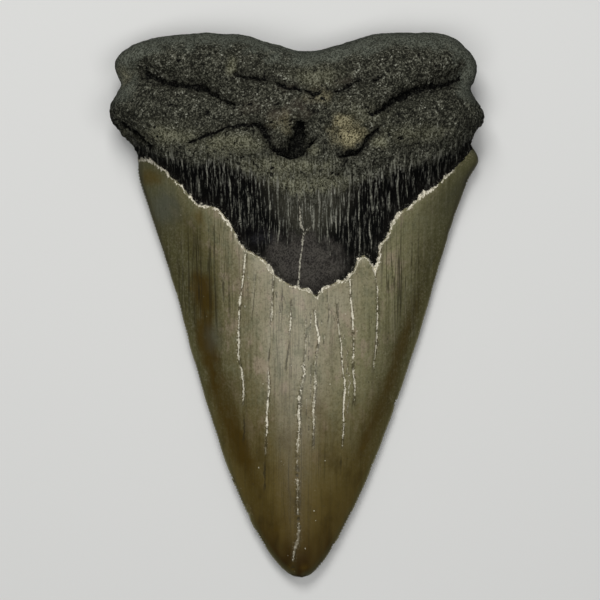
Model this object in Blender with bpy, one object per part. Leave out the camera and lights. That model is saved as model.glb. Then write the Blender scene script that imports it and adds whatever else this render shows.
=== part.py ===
"""Fossil megalodon tooth, lying on its flat labial face with its domed lingual face up.

Frame: +Z up, +Y from the tip of the crown to the root, +X to the right as seen from above.
The origin is on the supporting surface, under the middle of the tooth.

The tooth grew as one piece, so it is one solid. A flat grid is wrapped round it like
paper: half of its columns cover the domed lingual face, the other half the flat labial
face, and the two meet along the cutting edges and along the top of the root.
"""

import math

import bmesh
import bpy
from mathutils import Vector, noise

MM = 0.001

# Driving dimensions, in millimetres.
TOOTH_LENGTH = 142.0  # tip of the crown to the top of the root lobes
ROOT_THICKNESS = 29.8  # labial face to the crest of the root, before its swellings
ROOT_CREST_Y = 46.0  # where the root is thickest
TIP_X = 1.5  # the tip stands a little right of the middle
TIP_HEIGHT = 4.4  # height of the tip above the surface
EDGE_HEIGHT = 3.4  # height of the cutting edges above the surface, half way up
SHOULDER_HEIGHT = 4.8  # height of the cutting edges where they reach the root
ROOT_RIM_HEIGHT = 10.5  # height of the widest line of the root's sides
NOTCH_RIM_HEIGHT = 13.0  # height of the root's top line, between the lobes
LOBE_RIM_HEIGHT = 11.0  # height of the root's top line, on the lobes
ENAMEL_STEP = 0.7  # the enamel stands this proud of the bare band above it
STEP_RUN = 0.45  # how far the step takes to drop, seen from above

TIP_Y = -TOOTH_LENGTH / 2
TOP_Y = TOOTH_LENGTH / 2

# Outlines seen from above, as (x, y) in millimetres. Each runs from the tip upwards.
LEFT_EDGE = (
    (TIP_X, TIP_Y),
    (-2.4, TIP_Y + 1.6),
    (-7.9, -63.0),
    (-15.4, -48.5),
    (-22.7, -27.7),
    (-28.7, -7.0),
    (-31.2, 3.0),
    (-34.0, 11.7),
    (-38.2, 24.5),
    (-41.8, 35.6),
    (-41.2, 38.2),
)
RIGHT_EDGE = (
    (TIP_X, TIP_Y),
    (4.4, TIP_Y + 1.6),
    (9.3, -63.0),
    (16.8, -48.5),
    (25.0, -27.7),
    (32.0, -7.0),
    (37.3, 11.0),
    (41.4, 24.5),
    (44.5, 32.4),
    (46.8, 38.0),
    (46.2, 40.6),
)
LEFT_NECK = ((-41.2, 38.2), (-42.6, 41.4), (-45.5, 44.8))
RIGHT_NECK = ((46.2, 40.6), (45.5, 42.6), (46.9, 45.2))
LEFT_LOWER_LOBE = ((-45.5, 44.8), (-48.2, 48.4), (-48.7, 51.3), (-47.0, 54.6), (-45.7, 57.2))
RIGHT_LOWER_LOBE = ((46.9, 45.2), (48.8, 48.2), (48.4, 51.2), (46.5, 53.8), (45.4, 56.2))
LEFT_UPPER_LOBE = ((-45.7, 57.2), (-47.1, 60.8), (-47.0, 63.4), (-45.4, 65.4))
RIGHT_UPPER_LOBE = ((45.4, 56.2), (46.8, 59.6), (46.8, 62.6), (45.2, 65.4))

# Lines that cross the tooth, as (x, y) from left to right. The wrapped grid has a row on each.
ENAMEL_LINE = (
    (-41.2, 38.2),
    (-37.2, 37.0),
    (-33.4, 34.7),
    (-30.0, 31.3),
    (-26.8, 26.9),
    (-22.9, 25.9),
    (-18.2, 22.0),
    (-14.4, 16.3),
    (-10.8, 13.7),
    (-6.9, 9.1),
    (-2.0, 4.7),
    (2.4, 4.4),
    (4.9, 2.7),
    (7.4, 5.0),
    (12.6, 6.5),
    (16.7, 12.5),
    (18.2, 12.9),
    (20.1, 10.2),
    (21.3, 15.8),
    (24.0, 20.5),
    (27.0, 25.0),
    (31.5, 28.2),
    (36.5, 32.2),
    (40.6, 35.4),
    (43.9, 39.2),
    (46.2, 40.6),
)
ROOT_MARGIN = (
    (-45.5, 44.8),
    (-41.5, 42.6),
    (-35.4, 38.6),
    (-28.9, 37.3),
    (-17.2, 36.0),
    (-10.8, 34.9),
    (-6.0, 32.4),
    (0.0, 30.4),
    (6.0, 30.6),
    (13.9, 33.4),
    (24.2, 36.0),
    (34.6, 38.7),
    (41.0, 41.6),
    (46.9, 45.2),
)
ROOT_FOLD = (
    (-45.7, 57.2),
    (-43.0, 59.6),
    (-40.0, 60.4),
    (-32.8, 58.8),
    (-26.3, 57.2),
    (-18.5, 54.0),
    (-8.0, 51.6),
    (4.0, 50.4),
    (16.0, 50.8),
    (25.5, 53.0),
    (33.3, 56.2),
    (41.0, 59.6),
    (45.4, 56.2),
)
ROOT_TOP = (
    (-45.4, 65.4),
    (-42.0, 67.7),
    (-36.0, 69.6),
    (-27.0, 70.6),
    (-18.0, 70.5),
    (-9.5, 69.0),
    (2.6, 65.8),
    (12.3, 67.9),
    (21.5, 70.7),
    (30.0, 70.9),
    (37.2, 70.7),
    (41.8, 68.6),
    (45.2, 65.4),
)
LABIAL_ENAMEL_LINE = ((-41.2, 38.2), (-30.0, 35.0), (-14.0, 32.2), (2.0, 31.0), (18.0, 32.6), (34.0, 36.4), (46.2, 40.6))
LABIAL_MARGIN = ((-45.5, 44.8), (-31.0, 40.0), (-14.0, 36.4), (2.0, 35.0), (18.0, 36.8), (35.0, 41.0), (46.9, 45.2))
LABIAL_FOLD = ((-45.7, 57.2), (-30.0, 57.6), (-14.0, 55.0), (2.0, 53.0), (16.0, 54.6), (31.0, 57.8), (45.4, 56.2))

# Height of the labial face's middle line above the surface, as (distance from the tip, height).
LABIAL_HEIGHTS = (
    (0.0, TIP_HEIGHT),
    (2.5, 2.9),
    (8.0, 1.6),
    (20.0, 0.6),
    (36.0, -0.1),
    (62.0, -0.2),
    (82.0, 0.3),
    (95.0, 1.3),
    (104.0, 2.4),
    (114.0, 2.2),
    (126.0, 1.6),
    (142.0, 2.5),
)

# Folds of the lingual side of the root: (path, depth, half width), all in millimetres.
FOLDS = (
    (((-43.5, 59.8), (-38.5, 60.6), (-32.8, 58.8), (-26.3, 57.2), (-21.0, 55.2), (-17.0, 52.6)), 2.4, 2.0),
    (((21.5, 51.0), (25.5, 53.0), (33.3, 56.2), (38.5, 58.6), (43.0, 60.2)), 2.6, 2.0),
    (((-16.0, 61.0), (-8.2, 58.4), (-1.7, 56.6), (8.0, 56.0), (14.0, 57.6), (21.0, 58.9)), 1.1, 1.7),
    (((-28.0, 42.6), (-22.0, 45.4), (-16.0, 47.2), (-11.0, 47.4)), 1.0, 1.7),
)
# Rounded swellings of the root: (x, y, height, reach in x, reach in y).
SWELLINGS = (
    (-37.0, 50.5, 2.2, 10.0, 6.0),
    (38.5, 50.0, 2.2, 9.0, 5.5),
    (-28.0, 65.0, 1.6, 14.0, 4.5),
    (30.0, 65.0, 1.6, 12.0, 4.5),
    (-14.0, 42.0, 1.8, 9.0, 3.6),
    (2.0, 36.2, 1.6, 12.0, 3.2),
    (5.2, 40.6, 2.0, 2.6, 2.4),
    (26.0, 46.0, 1.2, 8.0, 5.0),
)
# Hollows in the middle of the root: (x, y, depth, reach in x, reach in y).
HOLLOWS = (
    (2.0, 49.0, 1.8, 17.0, 6.0),
    (0.0, 42.8, 6.5, 3.6, 3.6),
    (-6.4, 44.6, 2.2, 3.0, 3.0),
    (13.6, 43.6, 3.6, 5.6, 3.4),
    (-42.0, 41.8, 3.0, 4.0, 2.6),
    (44.5, 43.0, 1.8, 3.5, 2.4),
)
# Feet of the labial side of the root, which the tooth rests on.
LABIAL_FEET = (
    (-31.0, 51.0, 3.4, 10.0, 9.0),
    (32.0, 51.0, 3.4, 10.0, 9.0),
)

# Grid: columns across each face, and rows in each of the four zones from the tip upwards.
COLUMNS = 44
CROWN_ROWS = 28
BAND_ROWS = 6
ROOT_ROWS = 12
TOP_ROWS = 9


def mix(a, b, share):
    return a + (b - a) * share


def smooth_step(low, high, value):
    share = min(max((value - low) / (high - low), 0.0), 1.0)
    return share * share * (3 - 2 * share)


def spline(before, start, end, after, share):
    """Catmull-Rom curve between start and end."""
    return 0.5 * (
        2 * start
        + (end - before) * share
        + (2 * before - 5 * start + 4 * end - after) * share**2
        + (3 * start - before - 3 * end + after) * share**3
    )


def along(points, share):
    """The point at this share of a smooth outline's length."""
    knots = [Vector(p) for p in points]
    steps = [(b - a).length for a, b in zip(knots, knots[1:])]
    travelled = share * sum(steps)
    index = 0
    while index < len(steps) - 1 and travelled > steps[index]:
        travelled -= steps[index]
        index += 1
    before = knots[max(index - 1, 0)]
    after = knots[min(index + 2, len(knots) - 1)]
    return spline(before, knots[index], knots[index + 1], after, min(travelled / steps[index], 1.0))


def slope(points, index):
    """How steeply a smooth line climbs at one of its points."""
    (x0, y0), (x1, y1) = points[max(index - 1, 0)], points[min(index + 1, len(points) - 1)]
    return (y1 - y0) / (x1 - x0)


def level(points, x, jagged=False):
    """The second coordinate of a line of points at x: straight between them if the line is
    jagged, and otherwise smooth."""
    index = 0
    while index < len(points) - 2 and x > points[index + 1][0]:
        index += 1
    (x0, y0), (x1, y1) = points[index], points[index + 1]
    run = x1 - x0
    share = min(max((x - x0) / run, 0.0), 1.0)
    straight = mix(y0, y1, share)
    if jagged:
        return straight
    start_bend = slope(points, index) * run - (y1 - y0)
    end_bend = slope(points, index + 1) * run - (y1 - y0)
    return straight + share * (1 - share) * (start_bend * (1 - share) - end_bend * share)


def crossing(line, across):
    """The point of a crossing line at across, from -1 at its left end to 1 at its right end."""
    x = mix(line[0][0], line[-1][0], (1 + across) / 2)
    return Vector((x, level(line, x, jagged=line is ENAMEL_LINE)))


def patch(low, high, left, right, across, share, fade=1.0):
    """A point of the area between two crossing lines and two outlines. The bow of each crossing
    line dies away from it; a fade above 1 makes it die sooner."""
    half = (1 + across) / 2
    between = mix(along(left, share), along(right, share), half)
    for line, weight in ((low, (1 - share) ** fade), (high, share**fade)):
        if line is None:
            continue
        chord = mix(Vector(line[0]), Vector(line[-1]), half)
        between += (crossing(line, across) - chord) * weight
    return between


def column_place(column):
    """Across, from -1 to 1: columns lie closer together towards the cutting edges."""
    spread = 2 * column / COLUMNS - 1
    return 0.62 * spread + 0.38 * math.sin(spread * math.pi / 2)


def hill(place, centre_x, centre_y, reach_x, reach_y):
    return math.exp(-(((place.x - centre_x) / reach_x) ** 2) - ((place.y - centre_y) / reach_y) ** 2)


def distance_to_path(place, path):
    nearest = math.inf
    for start, end in zip(path, path[1:]):
        start, end = Vector(start), Vector(end)
        run = end - start
        share = min(max((place - start).dot(run) / run.length_squared, 0.0), 1.0)
        nearest = min(nearest, (place - (start + run * share)).length)
    return nearest


def edge_height(y):
    """Height of the outline: the cutting edge up to the shoulder, then the side of the root."""
    crown = mix(TIP_HEIGHT, EDGE_HEIGHT, smooth_step(TIP_Y, TIP_Y + 40, y))
    crown = mix(crown, SHOULDER_HEIGHT, smooth_step(0, 38, y))
    return mix(crown, ROOT_RIM_HEIGHT, smooth_step(38, 50, y))


def top_height(x):
    """Height of the line along the top of the root."""
    return mix(NOTCH_RIM_HEIGHT, LOBE_RIM_HEIGHT, smooth_step(8, 30, abs(x)))


def ridge_height(y):
    """Height of the lingual face's middle line: a blade that thickens into the root."""
    reach = max(y - TIP_Y, 0.0)
    blade = TIP_HEIGHT + 1.2 * math.sqrt(reach) + 0.062 * reach
    return mix(blade, ROOT_THICKNESS, math.exp(-(((y - ROOT_CREST_Y) / 13) ** 2)))


def root_relief(place):
    """Height that the folds, swellings and hollows of the lingual side add."""
    relief = 0.0
    for path, depth, half_width in FOLDS:
        relief -= depth * math.exp(-((distance_to_path(place, path) / half_width) ** 2))
    for x, y, height, reach_x, reach_y in SWELLINGS:
        relief += height * hill(place, x, y, reach_x, reach_y)
    for x, y, depth, reach_x, reach_y in HOLLOWS:
        relief -= depth * hill(place, x, y, reach_x, reach_y)
    lumps = noise.noise(Vector((place.x, place.y, 0)) / 9.0) * 0.7
    return relief + lumps * smooth_step(30, 40, place.y)


def lingual_height(place, across, rootness, enamel_share, roll):
    """Height of the domed face. rootness goes from 0 on the crown's lens-shaped section to 1 on
    the root's round one, and roll turns the surface down to the line along the root's top."""
    lens = (1 - abs(across) ** 2.3) ** 1.25
    oval = math.sqrt(1 - across**2)
    edge = edge_height(place.y)
    swell = mix(lens, oval, rootness)
    height = edge + (ridge_height(min(place.y, 56)) - edge) * swell
    height += root_relief(place) * min(1.0, 3 * oval) * smooth_step(0, 0.7, rootness)
    height -= ENAMEL_STEP * enamel_share * min(1.0, 3 * lens)
    return mix(top_height(place.x), height, roll) if roll < 1 else height


def labial_height(place, across, rootness, enamel_share, roll):
    """Height of the flat face, which is never below the surface that it rests on."""
    belly = 1 - across**2
    slab = (1 - across**4) ** 0.5
    edge = edge_height(place.y)
    middle = level(LABIAL_HEIGHTS, place.y - TIP_Y)
    height = edge - (edge - middle) * mix(belly, slab, rootness)
    for x, y, depth, reach_x, reach_y in LABIAL_FEET:
        height -= depth * hill(place, x, y, reach_x, reach_y) * min(1.0, 2 * slab)
    height += 0.5 * ENAMEL_STEP * enamel_share * slab
    height = max(height, 0.0)
    return mix(top_height(place.x), height, roll) if roll < 1 else height


def zone_of(row):
    """The zone that a row of the grid lies in, and how far up that zone it is."""
    for zone, rows in enumerate((CROWN_ROWS, BAND_ROWS, ROOT_ROWS, TOP_ROWS)):
        if row <= rows:
            return zone, row / rows
        row -= rows
    return zone, 1.0


def band_share(share, band_length):
    """How far up the bare band a row lies. The first row above the enamel is at the foot of the
    enamel's step, and the others divide the rest of the band."""
    first_row = 1 / BAND_ROWS
    foot = STEP_RUN / band_length
    return mix(foot, 1, ((share - first_row) / (1 - first_row)) ** 1.3)


def surface_point(column, row):
    """Where a vertex of the wrapped grid lies. Columns run across the lingual face and then
    back across the labial one."""
    lingual = column <= COLUMNS
    across = column_place(column if lingual else 2 * COLUMNS - column)
    enamel = ENAMEL_LINE if lingual else LABIAL_ENAMEL_LINE
    margin = ROOT_MARGIN if lingual else LABIAL_MARGIN
    fold = ROOT_FOLD if lingual else LABIAL_FOLD
    zone, share = zone_of(row)
    rootness, bare, roll = 1.0, 0.0, 1.0
    if zone == 0:
        rootness = 0.35 * smooth_step(0.55, 1, share)
        place = patch(None, enamel, LEFT_EDGE, RIGHT_EDGE, across, share, fade=3.0)
    elif zone == 1:
        share = band_share(share, crossing(margin, across).y - crossing(enamel, across).y)
        rootness = mix(0.35, 1, smooth_step(0, 1, share))
        bare = 1 - smooth_step(0.5, 1, share)
        place = patch(enamel, margin, LEFT_NECK, RIGHT_NECK, across, share)
    elif zone == 2:
        place = patch(margin, fold, LEFT_LOWER_LOBE, RIGHT_LOWER_LOBE, across, share)
    else:
        roll = math.cos(share * math.pi / 2)
        share = math.sin(share * math.pi / 2)
        place = patch(fold, ROOT_TOP, LEFT_UPPER_LOBE, RIGHT_UPPER_LOBE, across, share)
    height = lingual_height if lingual else labial_height
    return Vector((place.x, place.y, height(place, across, rootness, bare, roll))) * MM


def wrapped_tooth():
    """The tooth's mesh: a flat grid, wrapped round and sewn along its seams."""
    around = 2 * COLUMNS
    rows = CROWN_ROWS + BAND_ROWS + ROOT_ROWS + TOP_ROWS
    form = bmesh.new()
    bmesh.ops.create_grid(form, x_segments=around, y_segments=rows, size=1)
    for vertex in form.verts:
        column = round((vertex.co.x + 1) / 2 * around)
        row = round((vertex.co.y + 1) / 2 * rows)
        vertex.co = surface_point(column, row)
    bmesh.ops.remove_doubles(form, verts=form.verts, dist=1e-6)
    bmesh.ops.recalc_face_normals(form, faces=form.faces)
    mesh = bpy.data.meshes.new("tooth")
    form.to_mesh(mesh)
    form.free()
    return mesh


def fossil_material():
    """Fossil enamel and dentine, stained olive grey by the sediment."""
    material = bpy.data.materials.new("fossil_tooth")
    material.use_nodes = True
    shader = material.node_tree.nodes["Principled BSDF"]
    shader.inputs["Base Color"].default_value = (0.10, 0.09, 0.065, 1)
    shader.inputs["Roughness"].default_value = 0.45
    shader.inputs["Metallic"].default_value = 0.0
    return material


def main():
    for existing in list(bpy.data.objects):
        bpy.data.objects.remove(existing)
    collection = bpy.data.collections.new("megalodon_tooth")
    bpy.context.scene.collection.children.link(collection)
    tooth = bpy.data.objects.new("tooth", wrapped_tooth())
    collection.objects.link(tooth)
    tooth.data.materials.append(fossil_material())
    tooth.data.shade_smooth()


main()
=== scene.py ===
# %% [markdown]
# # A fossil megalodon tooth
# This lesson dresses a plain solid as a large fossil shark tooth, which lies on its flatter side.
# The solid holds the tooth's size, outline and main lumps. Here a copy of it gets a finer skin,
# the small relief of enamel, bone-like dentine and broken edges is cut into that skin, and two
# materials colour it.

# %% Load the solid
import math

import bpy
import numpy as np
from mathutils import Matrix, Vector, noise


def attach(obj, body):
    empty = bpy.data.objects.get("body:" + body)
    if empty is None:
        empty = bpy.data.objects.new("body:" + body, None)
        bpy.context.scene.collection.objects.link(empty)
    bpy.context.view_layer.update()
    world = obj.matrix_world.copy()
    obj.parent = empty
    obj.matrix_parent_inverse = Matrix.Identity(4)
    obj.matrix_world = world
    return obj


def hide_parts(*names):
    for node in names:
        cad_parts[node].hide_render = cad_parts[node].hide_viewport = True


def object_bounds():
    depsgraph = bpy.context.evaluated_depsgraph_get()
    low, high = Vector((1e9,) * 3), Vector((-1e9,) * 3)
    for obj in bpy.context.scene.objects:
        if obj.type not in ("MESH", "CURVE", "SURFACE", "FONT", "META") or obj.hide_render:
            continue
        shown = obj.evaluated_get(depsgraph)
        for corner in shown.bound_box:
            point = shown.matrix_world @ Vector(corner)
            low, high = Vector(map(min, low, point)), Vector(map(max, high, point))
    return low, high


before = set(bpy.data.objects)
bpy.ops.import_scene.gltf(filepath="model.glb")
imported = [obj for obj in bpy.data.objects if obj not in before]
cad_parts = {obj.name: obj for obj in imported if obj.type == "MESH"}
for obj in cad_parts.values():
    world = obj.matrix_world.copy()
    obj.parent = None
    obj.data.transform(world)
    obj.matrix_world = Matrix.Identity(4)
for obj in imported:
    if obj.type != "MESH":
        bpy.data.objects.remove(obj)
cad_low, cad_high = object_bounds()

MM = 0.001
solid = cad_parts["tooth"]
print("solid, in mm:", [round(side / MM, 1) for side in cad_high - cad_low])

# %% [markdown]
# ## Tools for the bench
# By hand, one would select some faces in edit mode and press a key. In a script, the faces or
# edges are chosen by their place or direction, as an array of yes and no. One helper hands that
# choice to an edit-mode operator, and another adds a modifier and applies it. Numpy reads and
# writes whole meshes at once, which is many times faster than one point at a time.


# %% Helpers that copy, read and edit a mesh
def select_only(piece):
    """Selects this piece alone, so that an operator acts on nothing else."""
    bpy.ops.object.select_all(action="DESELECT")
    piece.select_set(True)
    bpy.context.view_layer.objects.active = piece


def new_copy(mesh, name):
    """A new object that holds its own copy of a mesh."""
    piece = bpy.data.objects.new(name, mesh.copy())
    bpy.context.scene.collection.objects.link(piece)
    return piece


def read(items, name, width=1, kind=np.float64):
    """One property of all points, edges, corners or faces, as a numpy array."""
    values = np.empty(len(items) * width, kind)
    items.foreach_get(name, values)
    return values.reshape(-1, width) if width > 1 else values


def edit(piece, operator, faces=None, edges=None, **settings):
    """Runs an edit-mode operator on the chosen faces or edges, or on everything."""
    select_only(piece)
    mesh = piece.data
    bpy.context.tool_settings.mesh_select_mode = (False, edges is not None, edges is None)
    if edges is None:
        faces = np.ones(len(mesh.polygons), bool) if faces is None else faces
        corners = np.repeat(faces, read(mesh.polygons, "loop_total", kind=np.int32))
        edges = np.zeros(len(mesh.edges), bool)
        edges[read(mesh.loops, "edge_index", kind=np.int32)[corners]] = True
    else:
        faces = np.zeros(len(mesh.polygons), bool)
    points = np.zeros(len(mesh.vertices), bool)
    points[read(mesh.edges, "vertices", 2, np.int32)[edges].ravel()] = True
    for items, chosen in ((mesh.polygons, faces), (mesh.edges, edges), (mesh.vertices, points)):
        items.foreach_set("select", chosen)
    bpy.ops.object.mode_set(mode="EDIT")
    operator(**settings)
    bpy.ops.object.mode_set(mode="OBJECT")


def apply_modifier(piece, kind, **settings):
    """Adds a modifier with these settings and applies it at once."""
    select_only(piece)
    modifier = piece.modifiers.new(kind.title(), kind)
    for name, value in settings.items():
        setattr(modifier, name, value)
    bpy.ops.object.modifier_apply(modifier=modifier.name)


def ramp(low, high, values):
    """A smooth step from 0 at low to 1 at high."""
    share = np.clip((values - low) / (high - low), 0, 1)
    return share * share * (3 - 2 * share)


def height_of(line, x):
    """The height of a line that runs from left to right, at each x."""
    return np.interp(x, *np.array(line).T[:2])


# %% [markdown]
# ## The blank
# The solid arrives as loose triangles, each with points of its own. Nothing can flow over those,
# so a copy of them is merged by distance into one closed skin. The solid itself stays as it is,
# for the physics that uses it.

# %% Merge a copy of the solid
blank = new_copy(solid.data, "blank")
blank.data.materials.clear()
select_only(blank)
bpy.ops.mesh.customdata_custom_splitnormals_clear()
edit(blank, bpy.ops.mesh.remove_doubles, threshold=0.001 * MM)
print("merged:", len(blank.data.vertices), "points,", len(blank.data.polygons), "triangles")

# %% [markdown]
# ## The plan
# The detail isn't even: it follows the enamel's broken lip, the root's edge, cracks and folds.
# They could be drawn on the skin one by one with a brush. A short list of places for each is
# easier to read and to correct, so they are all kept in mm on one plan of the lingual face. The
# plan is what a camera sees from high above, so the tall root is a little larger in it.

# %% Put points on the plan
PLAN_HEIGHT = 871.7  # mm, how high the camera is
PLAN_LEVEL = 8.0  # mm, the level at which the plan is true to size
PLAN_MIDDLE = (0.91, 1.81)  # mm


def on_plan(places):
    """Where points show on the plan: higher points are further from its middle."""
    scale = (PLAN_HEIGHT - PLAN_LEVEL) / (PLAN_HEIGHT - places[:, 2:])
    return PLAN_MIDDLE + (places[:, :2] - PLAN_MIDDLE) * scale


top_scale = (PLAN_HEIGHT - PLAN_LEVEL) / (PLAN_HEIGHT - cad_high[2] / MM)
print("scale of the plan at the top of the root:", round(float(top_scale), 3))

# %% [markdown]
# ## The lines that cross the tooth
# On the side that faces the tongue, the enamel ends in a deep V, and above it lies a bare band.
# On the side that faces the lips, it ends in a shallow arch. The V is broken, so its line needs
# many places. The other two lines are soft, and a dozen places do.

# %% The enamel's lip and the root's lower edge
ENAMEL_LINE = [
    (-41.3, 37.8), (-38.7, 37.9), (-36.4, 36.8), (-33.6, 34.5), (-30.4, 31.6), (-26.8, 27.2),
    (-25.0, 25.9), (-21.9, 25.9), (-20.1, 24.9), (-18.3, 22.3), (-17.0, 20.7), (-15.4, 17.4),
    (-13.3, 14.5), (-11.6, 13.9), (-10.2, 13.2), (-8.4, 11.6), (-6.9, 9.4), (-4.3, 7.0),
    (-1.4, 5.2), (0.9, 4.7), (2.5, 4.5), (3.8, 3.4), (5.3, 2.6), (7.6, 4.9), (11.3, 6.7),
    (13.1, 6.9), (14.9, 9.1), (15.9, 11.7), (17.4, 13.2), (18.3, 12.6), (19.2, 10.9),
    (20.3, 9.3), (21.3, 11.7), (21.9, 16.1), (23.7, 18.1), (25.0, 21.8), (26.3, 23.1),
    (27.9, 25.1), (29.9, 25.9), (31.5, 27.5), (33.8, 29.5), (36.4, 31.1), (39.0, 33.9),
    (40.8, 35.0), (41.8, 36.5), (43.4, 38.3), (44.4, 40.2), (46.2, 41.5),
]
LABIAL_LINE = [
    (-41.2, 38.2), (-30.0, 35.0), (-14.0, 32.2), (2.0, 31.0), (18.0, 32.6), (34.0, 36.4),
    (46.2, 40.6),
]
BAND_TOP = [
    (-42.0, 42.0), (-38.0, 39.5), (-30.0, 38.0), (-22.0, 37.3), (-12.0, 34.8), (-6.0, 31.5),
    (0.0, 27.5), (6.0, 28.0), (13.9, 31.6), (26.8, 35.5), (37.2, 38.6), (45.0, 43.3),
]
print("places along the lip, the labial lip and the band:",
      len(ENAMEL_LINE), len(LABIAL_LINE), len(BAND_TOP))

# %% [markdown]
# ## The lip, levelled
# The enamel cap is about 0.7 mm thick, and it ends in a broken lip with the bare band behind it.
# The solid has that step as one row of short steep edges. Smoothed with the rest, it would blur
# into a slope. So its edges are found by their shape, the band behind them is raised to the
# enamel's level, and a finer and more ragged step is cut once the skin can hold it.

# %% Find the solid's step and level it
LIP_NEAR = 3  # mm, the step is no further than this from the enamel's line
STEP_RUN, STEP_SLANT, STEP_DROP = (0.3, 0.5), 0.25, 0.12  # mm, the shape of the step's edges
STEP_Z, LINGUAL_Z = 5, 6  # mm, the step and the lingual face near the band are higher
LEVEL_FROM = 0.2  # mm behind the step, where levelling starts
LEVEL_FADE = (0.4, 1.0)  # where it fades out, as shares of the band's width
points = read(blank.data.vertices, "co", 3) / MM
ends = points[read(blank.data.edges, "vertices", 2, np.int32)]
ends = np.where((ends[:, :1, 1] > ends[:, 1:, 1])[..., None], ends[:, ::-1], ends)  # lower y first
run, drop = ends[:, 1] - ends[:, 0], ends[:, 0, 2] - ends[:, 1, 2]
near_line = abs(ends[:, 0, 1] - height_of(ENAMEL_LINE, ends[:, 0, 0])) < LIP_NEAR
steep = (run[:, 1] > STEP_RUN[0]) & (run[:, 1] < STEP_RUN[1])
steep &= (abs(run[:, 0]) < STEP_SLANT) & (drop > STEP_DROP)
step_edges = near_line & steep & (ends[:, 0, 2] > STEP_Z)
lip = np.column_stack([ends[step_edges, 0, :2], drop[step_edges]])
lip = lip[np.argsort(lip[:, 0])]


def step_height(places):
    """How far the bare band lies below the enamel: full at the lip, nothing at the root."""
    x, y = places[:, 0], places[:, 1]
    lip_y = height_of(ENAMEL_LINE, x)
    rise = (y - lip_y) / (height_of(BAND_TOP, x) - lip_y)
    return np.interp(x, lip[:, 0], lip[:, 2], left=0, right=0) * (1 - ramp(*LEVEL_FADE, rise))


lingual_point = points[:, 2] > LINGUAL_Z
behind_lip = lingual_point & (points[:, 1] > height_of(lip, points[:, 0]) + LEVEL_FROM)
points[:, 2] += np.where(behind_lip, step_height(points), 0)
blank.data.vertices.foreach_set("co", (points * MM).astype(np.float32).ravel())
blank.data.update()
print("places along the lip:", len(lip), "drop, in mm:", round(float(lip[:, 2].max()), 2))

# %% [markdown]
# ## The rim
# The domed lingual face and the flatter labial face meet along a rim. Below the root the rim is
# the cutting edge. It could be kept sharp by extra rows of faces beside it, but a crease does
# that without any. The triangles are paired first, because a subdivision surface flows best over
# four-sided faces. The rim is also the seam along which the skin is laid out flat, in two halves.

# %% Pair the triangles, crease the cutting edges and lay the skin out
SHOULDER_Y = 39.5  # mm, where the cutting edges end
RIM_TOP = 15.0  # mm, the rim is nowhere higher than this
SKIN_MAP = "OFBake"
PAIR_ANGLE = math.radians(80)  # two triangles that bend less than this may be paired
edit(
    blank,
    bpy.ops.mesh.tris_convert_to_quads,
    face_threshold=PAIR_ANGLE,
    shape_threshold=PAIR_ANGLE,
    topology_influence=2,
)
sides = read(blank.data.polygons, "loop_total", kind=np.int32)
looks_up = read(blank.data.polygons, "normal", 3)[:, 2] > 0
ups = np.zeros(len(blank.data.edges), int)
np.add.at(ups, read(blank.data.loops, "edge_index", kind=np.int32), np.repeat(looks_up, sides))
ends = read(blank.data.vertices, "co", 3)[read(blank.data.edges, "vertices", 2, np.int32)] / MM
rim = (ups == 1) & (ends[:, :, 2].max(axis=1) < RIM_TOP)
cutting = rim & (ends[:, :, 1].max(axis=1) < SHOULDER_Y)
edit(blank, bpy.ops.mesh.mark_seam, edges=rim)
edit(blank, bpy.ops.transform.edge_crease, edges=cutting, value=1)
outline = ends[rim][:, :, :2]
blank.data.uv_layers.new(name=SKIN_MAP)
edit(blank, bpy.ops.uv.unwrap, method="CONFORMAL", margin=0.01)
print("four-sided:", int((sides == 4).sum()), "of", len(sides), "rim edges:", int(rim.sum()))

# %% [markdown]
# ## Cracks
# As a tooth dries and fills with minerals, its enamel splits in long lines from the lip to the
# tip. Some are filled with white mineral, and some stay open and dark. A noise could crack the
# enamel at random, but these few cracks are what one knows this tooth by. So each is a short
# list of places from the top down, with its half width in mm. The third number of a place is
# its fill: 1 for white, -1 for dark and 0 for none.

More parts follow.
